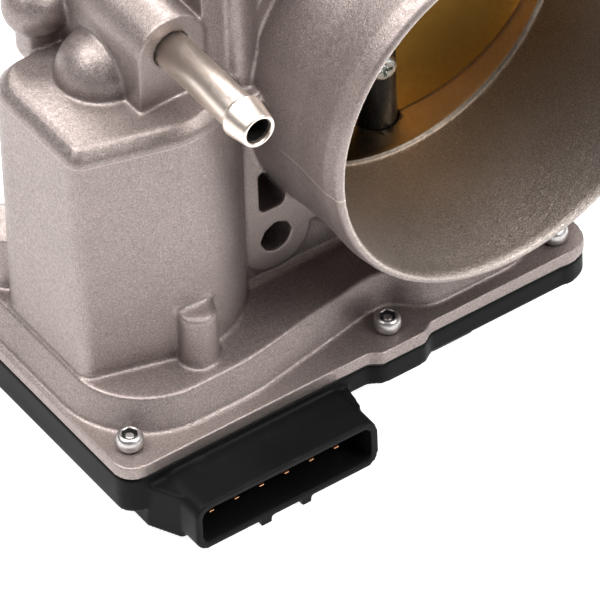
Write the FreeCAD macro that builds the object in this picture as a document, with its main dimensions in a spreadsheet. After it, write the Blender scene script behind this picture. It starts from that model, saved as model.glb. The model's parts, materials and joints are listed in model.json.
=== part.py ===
"""Electronic throttle body, built as separate pieces.

Frame: millimetres, +Z up along the throttle shaft, bore axis along Y.
The origin is where the bore axis meets the engine-side flange face.
The intake mouth faces -Y, the motor tower is at -X, the gear case is at -Z.
"""
import FreeCAD, Part
import math
import os
import re
import Sketcher

V = FreeCAD.Vector

DIMENSIONS = {
    # air passage, along Y
    "bore_dia": 75.0,
    "mouth_dia": 80.0,
    "mouth_y": -80.5,
    "machined_y": -43.0,
    "flange_y": -50.0,
    "bolt_pitch": 74.0,
    "bolt_dia": 7.0,
    "ear_dia": 16.4,
    "plate_depth": 10.0,
    # throttle shaft, along Z
    "shaft_y": -32.0,
    "shaft_dia": 9.0,
    "shaft_top": 50.0,
    "bearing_dia": 16.0,
    "bearing_height": 8.0,
    "lower_bearing": -50.0,
    "upper_bearing": 43.0,
    "disc_thickness": 2.2,
    "disc_gap": 0.25,
    "rest_tilt": 9.7,
    "closed_tilt": 4.2,
    "disc_screw": 21.0,
    # gear case, from the plateau down to the cover
    "plateau_z": -47.0,
    "ceiling_z": -50.5,
    "rim_top": -54.0,
    "seam_z": -57.0,
    "gasket_thickness": 0.6,
    "case_left": -90.5,
    "case_right": 24.0,
    "case_front": -74.0,
    "case_rear": -0.3,
    "skirt_z": -62.6,
    "base_z": -71.0,
    "pan_z": -72.5,
    "floor_thickness": 2.5,
    "cover_screw_dia": 3.6,
    # motor tower
    "motor_x": -61.0,
    "motor_y": -40.0,
    "motor_dia": 32.0,
    "tower_radius": 19.3,
    "tower_top": 12.4,
    "crown_height": 2.6,
    "tower_left": -85.5,
    "tower_rear": -20.5,
    # coolant nipples
    "pipe_x": -59.5,
    "pipe_z": 25.0,
    "pipe_dia": 7.8,
    "pipe_bore": 5.6,
    "pipe_length": 30.0,
    "riser_y": -24.0,
    "side_boss_x": -70.4,
    "side_boss_y": -18.0,
    "side_boss_z": 20.0,
    "side_boss_dia": 13.6,
    "dome_x": -66.4,
    "dome_y": -35.2,
    "dome_dia": 19.2,
    # gears
    "sector_teeth": 54.0,
    "idler_teeth": 12.0,
    "sector_module": 1.0,
    "wheel_teeth": 60.0,
    "pinion_teeth": 12.0,
    "wheel_module": 0.8,
    "sector_z": -60.0,
    "wheel_z": -64.5,
    # connector, opening towards -Y
    "socket_x": -60.3,
    "socket_width": 43.8,
    "socket_front": -86.0,
    "socket_top": -59.0,
    "socket_wall": 1.6,
    "pin_pitch": 6.04,
    "pin_z": -65.0,
}

FIT_GAP = 0.05

doc = FreeCAD.newDocument("throttle_body")
sheet = doc.addObject("Spreadsheet::Sheet", "Sheet")
for row, (alias, size) in enumerate(DIMENSIONS.items(), start=1):
    cell = "A%d" % row
    sheet.set(cell, str(size))
    sheet.setAlias(cell, alias)
doc.recompute()

PARTS = []


# ---------------------------------------------------------------- helpers

def num(expression):
    """Value of an expression in the sheet's names, such as 'bore_dia / 2'."""
    return float(sheet.evalExpression(expression))


def formula(expression):
    """The same expression, written for an object outside the sheet."""
    return re.sub(r"([a-z]+(?:_[a-z]+)+)", r"Sheet.\1", expression)


def new_body(label, place=("0", "0", "0")):
    """A PartDesign body whose position follows the sheet."""
    body = doc.addObject("PartDesign::Body", label)
    body.Label = label
    for axis, expression in zip("xyz", place):
        body.setExpression("Placement.Base." + axis, formula(expression))
    PARTS.append(body)
    return body


def new_sketch(body, plane, height="0"):
    """A sketch on an origin plane; XZ sketches face -Y, so their height is -Y."""
    sketch = body.newObject("Sketcher::SketchObject", "Sketch")
    support = [item for item in body.Origin.OriginFeatures if item.Role == plane][0]
    sketch.AttachmentSupport = [(support, "")]
    sketch.MapMode = "FlatFace"
    sketch.setExpression("AttachmentOffset.Base.z", formula(height))
    return sketch


def circle(sketch, across, up, radius):
    """A circle held by its radius and its distances from the sketch origin."""
    centre = V(num(across), num(up), 0)
    index = sketch.addGeometry(Part.Circle(centre, V(0, 0, 1), num(radius)))
    rules = (("Radius", (index,), radius),
             ("DistanceX", (-1, 1, index, 3), across),
             ("DistanceY", (-1, 1, index, 3), up))
    for kind, target, expression in rules:
        rule = sketch.addConstraint(Sketcher.Constraint(kind, *target, num(expression)))
        sketch.setExpression("Constraints[%d]" % rule, formula(expression))


def rounded(corners):
    """Lines and arcs of a closed outline; a corner is (x, y, radius)."""
    count = len(corners)
    points = [V(x, y, 0) for x, y, _ in corners]
    turns = []
    for index, (_, _, radius) in enumerate(corners):
        here = points[index]
        back = (points[index - 1] - here).normalize()
        ahead = (points[(index + 1) % count] - here).normalize()
        half = back.getAngle(ahead) / 2
        reach = radius / math.tan(half)
        middle = here
        if radius > 0:
            middle = here + (back + ahead).normalize() * (radius / math.sin(half) - radius)
        turns.append((here + back * reach, middle, here + ahead * reach))
    edges = []
    for index, (start, middle, end) in enumerate(turns):
        if corners[index][2] > 0:
            edges.append(Part.Arc(start, middle, end))
        following = turns[(index + 1) % count][0]
        if (following - end).Length > 1e-6:
            edges.append(Part.LineSegment(end, following))
    return edges


def outline(sketch, corners):
    """A closed outline with rounded corners in a sketch."""
    sketch.addGeometry(rounded(corners))


def box_corners(left, front, right, rear, radius):
    """Corners of a rounded rectangle."""
    return [(left, front, radius), (right, front, radius),
            (right, rear, radius), (left, rear, radius)]


def extrude(body, sketch, length, kind="Pad", reverse=False, taper=0.0):
    """A Pad along the sketch's normal, or a Pocket against it."""
    feature = body.newObject("PartDesign::" + kind, kind)
    feature.Profile = sketch
    feature.setExpression("Length", formula(length))
    feature.Reversed = reverse
    feature.TaperAngle = taper
    sketch.Visibility = False
    return feature


def revolve(body, sketch, kind="Revolution"):
    """A turned shape or groove about the sketch's vertical axis."""
    feature = body.newObject("PartDesign::" + kind, kind)
    feature.Profile = sketch
    feature.ReferenceAxis = (sketch, ["V_Axis"])
    feature.Angle = 360.0
    return feature


def ball(body, radius, place):
    """A sphere added to a body at a place that follows the sheet."""
    sphere = body.newObject("PartDesign::AdditiveSphere", "Sphere")
    sphere.setExpression("Radius", formula(radius))
    for axis, expression in zip("xyz", place):
        sphere.setExpression("Placement.Base." + axis, formula(expression))


def turned(label, place, plane, corners):
    """A turned piece; corners are (radius, height, rounding) about its own axis."""
    body = new_body(label, place)
    sketch = new_sketch(body, plane)
    outline(sketch, corners)
    revolve(body, sketch)
    return body


def shape_part(label, shape, place=V(0, 0, 0)):
    """A piece whose shape comes straight from geometry functions."""
    feature = doc.addObject("Part::Feature", label)
    feature.Label = label
    feature.Shape = shape
    feature.Placement = FreeCAD.Placement(place, FreeCAD.Rotation()) * shape.Placement
    PARTS.append(feature)
    return feature


def cylinder(radius, low, high, x=0.0, y=0.0):
    """An upright cylinder between two heights."""
    return Part.makeCylinder(radius, high - low, V(x, y, low))


def block(low, high):
    """A box between two corners."""
    size = V(*high) - V(*low)
    return Part.makeBox(size.x, size.y, size.z, V(*low))


# ---------------------------------------------------------------- layout

SHAFT = V(0, num("shaft_y"), 0)
MOTOR = V(num("motor_x"), num("motor_y"), 0)

SCREWS = [(-85.0, -67.4), (-24.4, -70.1), (17.8, -68.8),
          (26.5, -9.0), (-52.0, -5.6), (-85.0, -5.6)]
LOBE_RADIUS = 5.5
HEAD_RADIUS = 2.85
HEAD_HEIGHT = 3.5
EAR = V(-8.2, 17.7, 0)
BOLTS = [(side * num("bolt_pitch / 2"), up * num("bolt_pitch / 2"))
         for side in (-1, 1) for up in (-1, 1)]


def idler_axis():
    """Where the two-step gear sits, from the two centre distances."""
    to_shaft = num("sector_module * (sector_teeth + idler_teeth) / 2")
    to_motor = num("wheel_module * (wheel_teeth + pinion_teeth) / 2")
    line = MOTOR - SHAFT
    along = (to_shaft ** 2 - to_motor ** 2 + line.Length ** 2) / (2 * line.Length)
    aside = math.sqrt(to_shaft ** 2 - along ** 2)
    unit = V(line.x, line.y, 0).normalize()
    return SHAFT + unit * along + V(unit.y, -unit.x, 0) * aside


IDLER = idler_axis()


def bearing_angle(start, end):
    """Direction from one axis to another, in degrees."""
    return math.degrees(math.atan2(end.y - start.y, end.x - start.x))


def rim_corners(inset):
    """Outline of the gear-case rim, moved inwards by inset."""
    left = num("case_left") + inset
    right = num("case_right") - inset
    front = num("case_front") + inset
    rear = num("case_rear") - inset
    middle = SCREWS[1][0]
    bulge = front - 1.8
    return [(left, front, 4.5),
            (middle - 7.8, front, 3.0), (middle - 5.2, bulge, 3.0),
            (middle + 5.2, bulge, 3.0), (middle + 7.8, front, 3.0),
            (right, front, 5.2), (right, rear, 5.2), (left, rear, 5.2)]


def cavity_corners(shrink):
    """Outline of the space for the gears, made smaller by shrink."""
    left = -84.8 + shrink
    right = 18.8 - shrink
    front = -61.2 + shrink
    rear = -3.9 - shrink
    return [(left, front, 18), (right, front, 13), (right, rear, 6), (left, rear, 24)]


PAN_CORNERS = [(-85.0, -60.5, 9), (15.5, -60.5, 12), (15.5, -4.0, 8), (-85.0, -4.0, 8)]
PAN_INNER = [(-82.5, -58.3, 7), (13.0, -58.3, 10), (13.0, -6.5, 6), (-82.5, -6.5, 6)]


# ---------------------------------------------------------------- casting

def housing_tube(body):
    """Turned outside of the air passage: lip, soft bead, waist and flange end."""
    sketch = new_sketch(body, "XY_Plane")
    mouth = num("mouth_y")
    outline(sketch, [(0, mouth, 0), (42.0, mouth, 1.2), (42.6, mouth + 4.5, 3),
                     (42.1, mouth + 14, 6), (43.0, mouth + 30, 0), (43.0, 0, 0), (0, 0, 0)])
    revolve(body, sketch)


def housing_flange(body):
    """Front and rear flange plates with four ears, and the block under the tube."""
    front = new_sketch(body, "XZ_Plane", "-flange_y")
    circle(front, "0", "0", "bolt_pitch * 0.628")
    extrude(body, front, "plate_depth", reverse=True)
    rear = new_sketch(body, "XZ_Plane")
    reach = num("bolt_pitch / 2 + ear_dia / 2")
    outline(rear, box_corners(-reach, -reach, reach, reach, num("ear_dia / 2")))
    extrude(body, rear, "plate_depth")
    ears = new_sketch(body, "XZ_Plane")
    for x, z in BOLTS:
        circle(ears, "%g" % x, "%g" % z, "ear_dia / 2")
    extrude(body, ears, "-flange_y")
    block_sketch = new_sketch(body, "XY_Plane", "plateau_z - 1")
    outline(block_sketch, box_corners(-46.0, num("flange_y") + 0.5, 19.0, -2.0, 2.0))
    extrude(body, block_sketch, "16")
    foot = new_sketch(body, "XY_Plane", "plateau_z - 0.4")
    outline(foot, box_corners(-46.0, num("flange_y") - 1.2, 19.0, -2.0, 2.0))
    extrude(body, foot, "1.7", taper=-45.0)
    web = new_sketch(body, "XZ_Plane", "-flange_y - 0.4")
    outline(web, box_corners(-52.0, 2.0, -30.0, 41.0, 3.0))
    extrude(body, web, "plate_depth - 1", reverse=True)
    apron = new_sketch(body, "XZ_Plane", "-flange_y")
    outline(apron, box_corners(-46.0, -37.0, -37.0 + num("ear_dia / 2"), 20.0, 0))
    extrude(body, apron, "plate_depth", reverse=True)


def housing_case(body):
    """Rim, drafted wall and plateau of the gear case."""
    rim = new_sketch(body, "XY_Plane", "seam_z")
    outline(rim, rim_corners(0))
    extrude(body, rim, "rim_top - seam_z")
    lobes = new_sketch(body, "XY_Plane", "seam_z")
    for x, y in SCREWS:
        circle(lobes, "%g" % x, "%g" % y, "%g" % LOBE_RADIUS)
    extrude(body, lobes, "rim_top - seam_z")
    wall = new_sketch(body, "XY_Plane", "rim_top")
    outline(wall, [(-89.2, -70.0, 20), (-56.0, -70.0, 45), (-25.5, -64.6, 9), (-20.5, -64.6, 5),
                   (-14.0, -70.6, 8), (8.0, -70.6, 12), (22.4, -58.5, 8), (22.4, -0.6, 5),
                   (-75.0, -0.6, 8), (-89.2, -20.0, 8)])
    extrude(body, wall, "plateau_z - rim_top", taper=-22.0)
    screw_relief(body)


def housing_tower(body):
    """Motor tower with its slanted front, round right side and stub boss."""
    slant = math.tan(math.radians(16.8))
    left = num("tower_left")
    right = num("motor_x + tower_radius")
    front_left = -52.8
    corners = [(left, front_left, 3.2), (right, front_left - (right - left) * slant, 19.3),
               (right, num("tower_rear"), 4), (left, num("tower_rear"), 8)]
    tower = new_sketch(body, "XY_Plane", "ceiling_z + 1")
    outline(tower, corners)
    extrude(body, tower, "tower_top - ceiling_z - 1 - crown_height")
    crown = new_sketch(body, "XY_Plane", "tower_top - crown_height")
    outline(crown, corners)
    extrude(body, crown, "crown_height", taper=-40.0)
    stubs = new_sketch(body, "XY_Plane", "ceiling_z + 1")
    circle(stubs, "-63.2", "-60.3", "4.1")
    circle(stubs, "-79", "-17", "6")
    extrude(body, stubs, "15.4")


def housing_bosses(body):
    """Nipple boss on the tower, its side boss and blend, and the shaft bosses."""
    nipple = new_sketch(body, "XZ_Plane", "-flange_y")
    circle(nipple, "pipe_x", "pipe_z", "7.8")
    extrude(body, nipple, "32", reverse=True)
    foot = new_sketch(body, "XZ_Plane", "-flange_y")
    outline(foot, box_corners(-67.3, 8.0, -51.7, 25.0, 0))
    extrude(body, foot, "32", reverse=True)
    side = new_sketch(body, "YZ_Plane", "side_boss_x")
    circle(side, "side_boss_y", "side_boss_z", "side_boss_dia / 2")
    extrude(body, side, "pipe_x + 5 - side_boss_x")
    ball(body, "side_boss_dia / 2", ("side_boss_x", "side_boss_y", "side_boss_z"))
    prop = new_sketch(body, "XY_Plane", "8")
    outline(prop, box_corners(-74.0, -22.5, -58.0, -13.5, 3.0))
    extrude(body, prop, "side_boss_z - 8")
    rib = new_sketch(body, "XY_Plane", "4")
    circle(rib, "-43", "-47.5", "4")
    extrude(body, rib, "37")
    ledge = new_sketch(body, "XY_Plane", "3.5")
    outline(ledge, box_corners(-46.0, -54.6, -40.5, -46.0, 0.6))
    extrude(body, ledge, "4")
    ball(body, "dome_dia / 2", ("dome_x", "dome_y", "tower_top"))
    shaft_boss = new_sketch(body, "XY_Plane", "-40")
    circle(shaft_boss, "0", "shaft_y", "12")
    extrude(body, shaft_boss, "shaft_top + 43")


def housing_passage(body):
    """Inside of the air passage: tapered cast intake, then the machined bore."""
    sketch = new_sketch(body, "XY_Plane")
    mouth = num("mouth_y")
    machined = num("machined_y")
    bore = num("bore_dia / 2")
    outline(sketch, [(0, mouth - 1, 0), (num("mouth_dia / 2") + 0.9, mouth - 1, 0),
                     (num("mouth_dia / 2"), mouth + 1.2, 1.5), (bore + 0.9, machined, 0),
                     (bore, machined + 0.6, 0), (bore, 1, 0), (0, 1, 0)])
    revolve(body, sketch, "Groove")


def housing_cavity(body):
    """Gear space, spring pocket, motor bore and the bosses left in the gear space."""
    space = new_sketch(body, "XY_Plane", "seam_z")
    outline(space, cavity_corners(0))
    extrude(body, space, "ceiling_z - seam_z", "Pocket", reverse=True)
    boss = new_sketch(body, "XY_Plane", "seam_z")
    boss_x = SCREWS[4][0]
    outline(boss, box_corners(boss_x - 7.8, -13.2, boss_x + 7.8, -3.0, 1.0))
    extrude(body, boss, "ceiling_z - seam_z")
    screw_relief(body)
    pocket = new_sketch(body, "XY_Plane", "ceiling_z")
    circle(pocket, "0", "shaft_y", "15.5")
    circle(pocket, "0", "shaft_y", "bearing_dia / 2 + 2.2")
    extrude(body, pocket, "6.7", "Pocket", reverse=True)
    motor = new_sketch(body, "XY_Plane", "seam_z")
    circle(motor, "motor_x", "motor_y", "motor_dia / 2 + 0.3")
    extrude(body, motor, "tower_top - seam_z - 4", "Pocket", reverse=True)
    stop = new_sketch(body, "XZ_Plane", "0 - case_rear + 0.5")
    circle(stop, "12", "-54", "2.9")
    extrude(body, stop, "14")


def hole_group(body, plane, height, circles, depth, reverse):
    """One pocket made of several round holes."""
    sketch = new_sketch(body, plane, height)
    for across, up, radius in circles:
        circle(sketch, across, up, radius)
    extrude(body, sketch, depth, "Pocket", reverse=reverse)


def housing_holes(body):
    """Bolt holes, shaft and bearing bores, screw holes, nipple seats, cored pocket."""
    bolts = [("%g" % x, "%g" % z, "bolt_dia / 2") for x, z in BOLTS]
    hole_group(body, "XZ_Plane", "-flange_y + 2", bolts, "-flange_y + 4", False)
    shaft = [("0", "shaft_y", "shaft_dia / 2 + 0.25")]
    hole_group(body, "XY_Plane", "shaft_top + 4", shaft, "110", False)
    lower = [("0", "shaft_y", "bearing_dia / 2")]
    hole_group(body, "XY_Plane", "ceiling_z - 1", lower, "bearing_height + 1.5", True)
    hole_group(body, "XY_Plane", "shaft_top + 4", lower, "shaft_top + 4 - upper_bearing", False)
    seal = [("0", "shaft_y", "6.5")]
    hole_group(body, "XY_Plane", "ceiling_z", seal, "bearing_height + 3.5", True)
    hole_group(body, "XY_Plane", "shaft_top", seal, "shaft_top - upper_bearing + 3", False)
    screws = [("%g" % x, "%g" % y, "cover_screw_dia / 2 + 0.15") for x, y in SCREWS]
    hole_group(body, "XY_Plane", "rim_top + 5", screws, "12", False)
    pin = [("%.4f" % IDLER.x, "%.4f" % IDLER.y, "2")]
    hole_group(body, "XY_Plane", "ceiling_z - 1", pin, "7", True)
    mounts = [("motor_x + %g" % (side * EAR.x), "motor_y + %g" % (side * EAR.y), "1.5") for side in (-1, 1)]
    hole_group(body, "XY_Plane", "ceiling_z - 1", mounts, "3.9", True)
    front = [("pipe_x", "pipe_z", "pipe_dia / 2")]
    hole_group(body, "XZ_Plane", "-flange_y + 1", front, "11", False)
    passage = [("pipe_x", "pipe_z", "pipe_bore / 2")]
    hole_group(body, "XZ_Plane", "-flange_y", passage, "-flange_y + riser_y + 3", False)
    riser = [("pipe_x", "riser_y", "pipe_dia / 2")]
    hole_group(body, "XY_Plane", "pipe_z + 9", riser, "7", False)
    link = [("pipe_x", "riser_y", "pipe_bore / 2 - 0.4")]
    hole_group(body, "XY_Plane", "pipe_z + 9", link, "9", False)
    stop = [("12", "-54", "2")]
    hole_group(body, "XZ_Plane", "-5", stop, "21", True)
    pocket = new_sketch(body, "XZ_Plane", "-flange_y + 1")
    outline(pocket, [(-40.6, -29.0, 1.6), (-33.4, -29.0, 1.6), (-38.8, -18.6, 1.2), (-40.6, -18.6, 0.8)])
    extrude(body, pocket, "13", "Pocket")


def screw_relief(body):
    """Round relief in the drafted wall that clears the rear cover screw's head."""
    x, y = SCREWS[4]
    circles = [("%g" % x, "%g" % y, "%g" % (LOBE_RADIUS + 0.4))]
    hole_group(body, "XY_Plane", "rim_top", circles, "plateau_z - rim_top + 0.5", True)


def build_housing():
    """The one-piece aluminium casting, with its machined faces and bores."""
    body = new_body("throttle_housing")
    housing_case(body)
    housing_tower(body)
    housing_flange(body)
    housing_tube(body)
    housing_bosses(body)
    housing_cavity(body)
    housing_passage(body)
    housing_holes(body)
    return body


# ---------------------------------------------------------------- cover and seal

def build_gasket():
    """Flat seal between the rim and the cover."""
    body = new_body("cover_gasket")
    sketch = new_sketch(body, "XY_Plane", "seam_z - gasket_thickness")
    outline(sketch, rim_corners(0.5))
    outline(sketch, cavity_corners(-1.0))
    extrude(body, sketch, "gasket_thickness")
    lobes = new_sketch(body, "XY_Plane", "seam_z - gasket_thickness")
    for x, y in SCREWS:
        circle(lobes, "%g" % x, "%g" % y, "%g" % (LOBE_RADIUS - 0.5))
    extrude(body, lobes, "gasket_thickness")
    holes = [("%g" % x, "%g" % y, "cover_screw_dia / 2 + 0.15") for x, y in SCREWS]
    hole_group(body, "XY_Plane", "seam_z + 1", holes, "3", False)


def cover_shell(body):
    """Skirt that matches the rim, the deeper pan and the thick left side."""
    top = "seam_z - gasket_thickness"
    skirt = new_sketch(body, "XY_Plane", "skirt_z")
    outline(skirt, rim_corners(0.2))
    extrude(body, skirt, top + " - skirt_z")
    lobes = new_sketch(body, "XY_Plane", "skirt_z")
    for x, y in SCREWS:
        circle(lobes, "%g" % x, "%g" % y, "%g" % (LOBE_RADIUS - 0.2))
    extrude(body, lobes, top + " - skirt_z")
    pan = new_sketch(body, "XY_Plane", "pan_z")
    outline(pan, PAN_CORNERS)
    extrude(body, pan, "skirt_z - pan_z")
    side = new_sketch(body, "XY_Plane", "skirt_z - 3.4")
    outline(side, [(-90.3, -73.8, 4.3), (-80, -73.8, 0), (-80, -10, 3), (-90.3, -10, 3)])
    extrude(body, side, "4")
    bulge = new_sketch(body, "XY_Plane", "skirt_z - 3")
    outline(bulge, box_corners(-17.0, -71.5, -2.0, -60.0, 4.0))
    extrude(body, bulge, "4")


def cover_socket(body):
    """Connector shell with its wide root, locking tabs and side rib."""
    left = num("socket_x - socket_width / 2")
    right = num("socket_x + socket_width / 2")
    top = num("socket_top")
    low = num("base_z")
    root = new_sketch(body, "XY_Plane", "base_z")
    outline(root, [(left - 3.6, -73.6, 1), (left, -80.5, 1), (right, -80.5, 1),
                   (right + 1.2, -73.6, 1), (right + 1.2, -60, 0), (left - 3.6, -60, 0)])
    extrude(body, root, "socket_top - base_z - 0.8")
    shell = new_sketch(body, "XZ_Plane", "-socket_front")
    outline(shell, box_corners(left, low, right, top, 3.0))
    extrude(body, shell, "12.5", reverse=True)
    tabs = new_sketch(body, "XZ_Plane", "-socket_front")
    for offset in (15.4, 25.1):
        outline(tabs, box_corners(left + offset, low - 1.5, left + offset + 2.4, low + 1, 0))
    extrude(body, tabs, "8", reverse=True)


def cover_hollows(body):
    """Gear space above and below the skirt, and the connector's mouth."""
    wall = num("socket_wall")
    left = num("socket_x - socket_width / 2") + wall
    right = num("socket_x + socket_width / 2") - wall
    upper = new_sketch(body, "XY_Plane", "seam_z")
    outline(upper, cavity_corners(0))
    extrude(body, upper, "seam_z - skirt_z - 1.5", "Pocket")
    lower = new_sketch(body, "XY_Plane", "seam_z")
    outline(lower, PAN_INNER)
    extrude(body, lower, "seam_z - pan_z - floor_thickness", "Pocket")
    bosses = new_sketch(body, "XY_Plane", "skirt_z")
    for x, y in SCREWS:
        circle(bosses, "%g" % x, "%g" % y, "4")
    extrude(body, bosses, "seam_z - gasket_thickness - skirt_z")
    mouth = new_sketch(body, "XZ_Plane", "-socket_front + 1")
    outline(mouth, box_corners(left, num("base_z") + wall, right, num("socket_top") - wall, 2.0))
    extrude(body, mouth, "10.5", "Pocket")
    pilots = [("%g" % x, "%g" % y, "cover_screw_dia / 2") for x, y in SCREWS]
    hole_group(body, "XY_Plane", "seam_z + 1", pilots, "6", False)
    pins = new_sketch(body, "XZ_Plane", "-socket_front - 5")
    for x in pin_places():
        z = num("pin_z")
        outline(pins, box_corners(x - PIN_HALF_WIDTH, z - PIN_HALF, x + PIN_HALF_WIDTH, z + PIN_HALF, 0))
    extrude(body, pins, "24", "Pocket")
    boss = new_sketch(body, "XY_Plane", "pan_z + floor_thickness - 0.5")
    circle(boss, "%.4f" % IDLER.x, "%.4f" % IDLER.y, "3.8")
    extrude(body, boss, "3.6")
    socket = [("%.4f" % IDLER.x, "%.4f" % IDLER.y, "2")]
    hole_group(body, "XY_Plane", "pan_z + floor_thickness + 4", socket, "5", False)


PIN_COUNT = 6
PIN_HALF = 0.32
PIN_HALF_WIDTH = 0.7


def pin_places():
    """Positions of the connector pins along X."""
    middle = num("socket_x") - 1.0
    return [middle + num("pin_pitch") * (index - (PIN_COUNT - 1) / 2) for index in range(PIN_COUNT)]


def build_cover():
    """Moulded cover with the connector shell."""
    body = new_body("gear_cover")
    cover_shell(body)
    cover_socket(body)
    cover_hollows(body)


def build_pins():
    """Six flat pins with tapered tips."""
    z = num("pin_z")
    solids = []
    for x in pin_places():
        left = x - PIN_HALF_WIDTH
        right = x + PIN_HALF_WIDTH
        run = block((left, -82.0, z - PIN_HALF), (right, -58.0, z + PIN_HALF))
        tip = Part.makeWedge(left, 0, z - PIN_HALF, z - 0.12, left + 0.2,
                             right, 0.7, z + PIN_HALF, z + 0.12, right - 0.2)
        tip.rotate(V(x, 0, z), V(1, 0, 0), 180)
        tip.translate(V(0, -82.0, 0))
        solids.append(run.fuse(tip).removeSplitter())
    shape_part("connector_pins", Part.makeCompound(solids))


# ---------------------------------------------------------------- fasteners

def turned_shape(corners, x=0.0, y=0.0):
    """A turned solid about an upright axis; corners are (radius, height, rounding)."""
    edges = [edge.toShape() for edge in rounded(corners)]
    wire = Part.Wire(Part.__sortEdges__(edges))
    wire.rotate(V(0, 0, 0), V(1, 0, 0), 90)
    solid = Part.Face(wire).revolve(V(0, 0, 0), V(0, 0, 1), 360)
    solid.translate(V(x, y, 0))
    return solid


def build_cover_screws():
    """Tamper-proof screws: round head, ring-shaped recess with a centre pin."""
    rim = num("rim_top")
    shank = num("cover_screw_dia / 2")
    solids = []
    for x, y in SCREWS:
        corners = [(0, rim - 7.5, 0), (shank, rim - 7.5, 0.4), (shank, rim, 0),
                   (HEAD_RADIUS, rim, 0.6), (HEAD_RADIUS, rim + HEAD_HEIGHT, 0.9),
                   (1.6, rim + HEAD_HEIGHT, 0), (1.6, rim + 1.7, 0), (1.0, rim + 1.7, 0),
                   (1.0, rim + 2.9, 0.3), (0, rim + 2.9, 0)]
        solids.append(turned_shape(corners, x, y))
    shape_part("cover_screws", Part.makeCompound(solids))


def cross_recess(depth, span, width):
    """Cutter for a cross recess, pointing down from the origin."""
    bar = block((-span / 2, -width / 2, -depth), (span / 2, width / 2, 1))
    other = bar.copy()
    other.rotate(V(0, 0, 0), V(0, 0, 1), 90)
    return bar.fuse(other)


def pan_screw(head_radius, head_height, shank_radius, length):
    """Cross-head pan screw, head upwards, seat at the origin."""
    corners = [(0, -length, 0), (shank_radius, -length, 0.3), (shank_radius, 0, 0),
               (head_radius, 0, 0), (head_radius, head_height, head_height * 0.55),
               (0, head_height, 0)]
    recess = cross_recess(head_height * 0.62, head_radius * 1.15, head_radius * 0.3)
    recess.translate(V(0, 0, head_height))
    return turned_shape(corners).cut(recess)


# ---------------------------------------------------------------- throttle

def disc_frame(tilt):
    """Turn about the shaft that brings the disc from square-on to a tilt."""
    return FreeCAD.Placement(SHAFT, FreeCAD.Rotation(V(0, 0, 1), -tilt))


def build_shaft():
    """Shaft with a slot for the disc and a seat for each disc screw."""
    body = turned("throttle_shaft", ("0", "shaft_y", "0"), "XZ_Plane",
                  [(0, num("sector_z + 0.3"), 0), (num("shaft_dia / 2"), num("sector_z + 0.3"), 0.6),
                   (num("shaft_dia / 2"), num("shaft_top - 1.5"), 0.6), (0, num("shaft_top - 1.5"), 0)])
    body.Placement = disc_frame(num("rest_tilt"))
    body.setExpression("Placement.Base.y", "Sheet.shaft_y")
    slot = new_sketch(body, "YZ_Plane", "-6")
    half = num("disc_thickness / 2")
    reach = num("bore_dia / 2") + 0.2
    outline(slot, box_corners(-half, -reach, half, reach, 0))
    extrude(body, slot, "12", "Pocket", reverse=True)
    seats = [("0", "%g * disc_screw" % side, "3.3") for side in (-1, 1)]
    hole_group(body, "XZ_Plane", "6", seats, "2.6", False)
    holes = [("0", "%g * disc_screw" % side, "1.6") for side in (-1, 1)]
    hole_group(body, "XZ_Plane", "6", holes, "9.4", False)


def build_disc():
    """Brass disc: an ellipse that fills the bore at the closed tilt."""
    closed = num("closed_tilt")
    radius = num("bore_dia / 2 - disc_gap")
    half = num("disc_thickness / 2")
    slab = block((-50, -half, -50), (50, half, 50))
    slab.rotate(V(0, 0, 0), V(0, 0, 1), -closed)
    tube = Part.makeCylinder(radius, 60, V(0, -30, 0), V(0, 1, 0))
    disc = slab.common(tube)
    disc.rotate(V(0, 0, 0), V(0, 0, 1), closed)
    for side in (-1, 1):
        z = side * num("disc_screw")
        disc = disc.cut(Part.makeCylinder(1.7, 10, V(0, -5, z), V(0, 1, 0)))
    part = shape_part("throttle_plate", disc)
    part.Placement = disc_frame(num("rest_tilt"))


def build_disc_screws():
    """Two cross-head screws that clamp the disc in the shaft."""
    solids = []
    for side in (-1, 1):
        screw = pan_screw(3.0, 2.0, 1.5, 6.4)
        screw.rotate(V(0, 0, 0), V(1, 0, 0), 90)
        screw.translate(V(0, -3.4, side * num("disc_screw")))
        solids.append(screw)
    part = shape_part("plate_screws", Part.makeCompound(solids))
    part.Placement = disc_frame(num("rest_tilt"))


def build_bearings():
    """Bearings, lip seals and the plug over the upper bearing."""
    shaft = num("shaft_dia / 2")
    outer = num("bearing_dia / 2")
    tall = num("bearing_height")
    place = ("0", "shaft_y", "0")
    for label, low in (("lower_bearing", num("lower_bearing")), ("upper_bearing", num("upper_bearing"))):
        turned(label, place, "XZ_Plane",
               [(shaft + FIT_GAP, low, 0), (outer, low, 0.5), (outer, low + tall, 0.5),
                (shaft + FIT_GAP, low + tall, 0)])
    for label, low in (("lower_seal", num("lower_bearing") + tall), ("upper_seal", num("upper_bearing") - 2)):
        turned(label, place, "XZ_Plane",
               [(shaft + FIT_GAP, low, 0), (6.5, low, 0), (6.5, low + 2, 0), (shaft + FIT_GAP, low + 2, 0)])
    top = num("shaft_top + 1.4")
    turned("bearing_plug", place, "XZ_Plane",
           [(0, top, 0), (outer, top, 0), (outer, top + 1.6, 0.5), (0, top + 1.6, 0)])


# ---------------------------------------------------------------- gears

PRESSURE = math.radians(20)
SHIFT = 0.35
BACKLASH = 0.07


def involute(angle):
    """Involute function."""
    return math.tan(angle) - angle


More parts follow.
